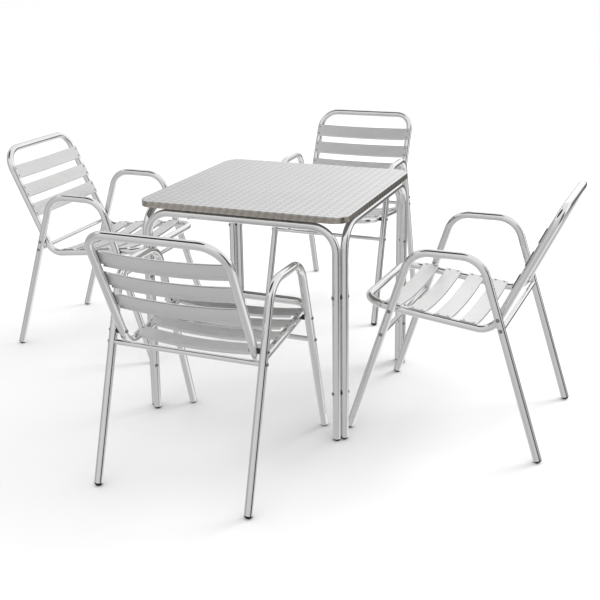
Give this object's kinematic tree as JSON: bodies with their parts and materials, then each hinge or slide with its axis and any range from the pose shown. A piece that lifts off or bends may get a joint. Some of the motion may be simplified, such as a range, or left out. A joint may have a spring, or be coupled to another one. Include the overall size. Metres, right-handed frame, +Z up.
{
  "type": "patio dining set",
  "caption": "Square metal-topped patio table on bent tube hoops, with matching stacking armchairs that have slatted seats and backs and slide in under the top.",
  "frame": {"origin": "on the ground, under the middle of the box round the whole set", "axes": "+Z is up, the front chair faces +Y and the right chair stands on the +X side of the table"},
  "size_m": [2.1258, 2.158, 0.7725],
  "materials": {
    "polished_aluminium_tube": "polished and clear anodised",
    "brushed_aluminium_slat": "ribbed along its length, satin anodised",
    "bright_aluminium": "bright, as drawn or pressed",
    "patterned_steel": "rows of overlapping circular brushed spots",
    "top_board": "raw pressed board, sealed inside the top",
    "under_sheet": "matt backing laminate",
    "zinc_plated_steel": "zinc plated, satin",
    "black_plastic": "moulded, matt",
    "black_rubber": "moulded, slightly glossy"
  },
  "bodies": {
    "table": {"tabletop_steel_skin": "patterned_steel", "tabletop_board": "top_board", "tabletop_under_sheet": "under_sheet", "top_screws": "zinc_plated_steel", "top_spacers": "black_plastic", "leg_bolts": "zinc_plated_steel", "leg_spacers": "black_plastic", "table_feet": "black_rubber", "leg_hoop_front": "polished_aluminium_tube", "leg_hoop_right": "polished_aluminium_tube", "leg_hoop_back": "polished_aluminium_tube", "leg_hoop_left": "polished_aluminium_tube"},
    "front_chair": {"front_chair_seat_frame": "polished_aluminium_tube", "front_chair_frame_sleeve": "bright_aluminium", "front_chair_left_arm": "polished_aluminium_tube", "front_chair_right_arm": "polished_aluminium_tube", "front_chair_front_crossbar": "polished_aluminium_tube", "front_chair_rear_crossbar": "polished_aluminium_tube", "front_chair_seat_slats": "brushed_aluminium_slat", "front_chair_back_slats": "brushed_aluminium_slat", "front_chair_slat_rivets": "bright_aluminium", "front_chair_rail_spacers": "black_plastic", "front_chair_frame_bolts": "zinc_plated_steel", "front_chair_feet": "black_rubber"},
    "right_chair": {"right_chair_seat_frame": "polished_aluminium_tube", "right_chair_frame_sleeve": "bright_aluminium", "right_chair_left_arm": "polished_aluminium_tube", "right_chair_right_arm": "polished_aluminium_tube", "right_chair_front_crossbar": "polished_aluminium_tube", "right_chair_rear_crossbar": "polished_aluminium_tube", "right_chair_seat_slats": "brushed_aluminium_slat", "right_chair_back_slats": "brushed_aluminium_slat", "right_chair_slat_rivets": "bright_aluminium", "right_chair_rail_spacers": "black_plastic", "right_chair_frame_bolts": "zinc_plated_steel", "right_chair_feet": "black_rubber"},
    "back_chair": {"back_chair_seat_frame": "polished_aluminium_tube", "back_chair_frame_sleeve": "bright_aluminium", "back_chair_left_arm": "polished_aluminium_tube", "back_chair_right_arm": "polished_aluminium_tube", "back_chair_front_crossbar": "polished_aluminium_tube", "back_chair_rear_crossbar": "polished_aluminium_tube", "back_chair_seat_slats": "brushed_aluminium_slat", "back_chair_back_slats": "brushed_aluminium_slat", "back_chair_slat_rivets": "bright_aluminium", "back_chair_rail_spacers": "black_plastic", "back_chair_frame_bolts": "zinc_plated_steel", "back_chair_feet": "black_rubber"},
    "left_chair": {"left_chair_seat_frame": "polished_aluminium_tube", "left_chair_frame_sleeve": "bright_aluminium", "left_chair_left_arm": "polished_aluminium_tube", "left_chair_right_arm": "polished_aluminium_tube", "left_chair_front_crossbar": "polished_aluminium_tube", "left_chair_rear_crossbar": "polished_aluminium_tube", "left_chair_seat_slats": "brushed_aluminium_slat", "left_chair_back_slats": "brushed_aluminium_slat", "left_chair_slat_rivets": "bright_aluminium", "left_chair_rail_spacers": "black_plastic", "left_chair_frame_bolts": "zinc_plated_steel", "left_chair_feet": "black_rubber"}
  },
  "joints": [
    {"name": "front_chair_slide", "type": "slide", "parent": "table", "child": "front_chair", "axis": [0, -1, 0], "range_m": [-0.15, 0.35]},
    {"name": "right_chair_slide", "type": "slide", "parent": "table", "child": "right_chair", "axis": [0.9994, -0.0349, 0], "range_m": [-0.04, 0.35]},
    {"name": "back_chair_slide", "type": "slide", "parent": "table", "child": "back_chair", "axis": [0, 1, 0], "range_m": [-0.2, 0.35]},
    {"name": "left_chair_slide", "type": "slide", "parent": "table", "child": "left_chair", "axis": [-0.9998, -0.0175, 0], "range_m": [-0.12, 0.35]}
  ]
}
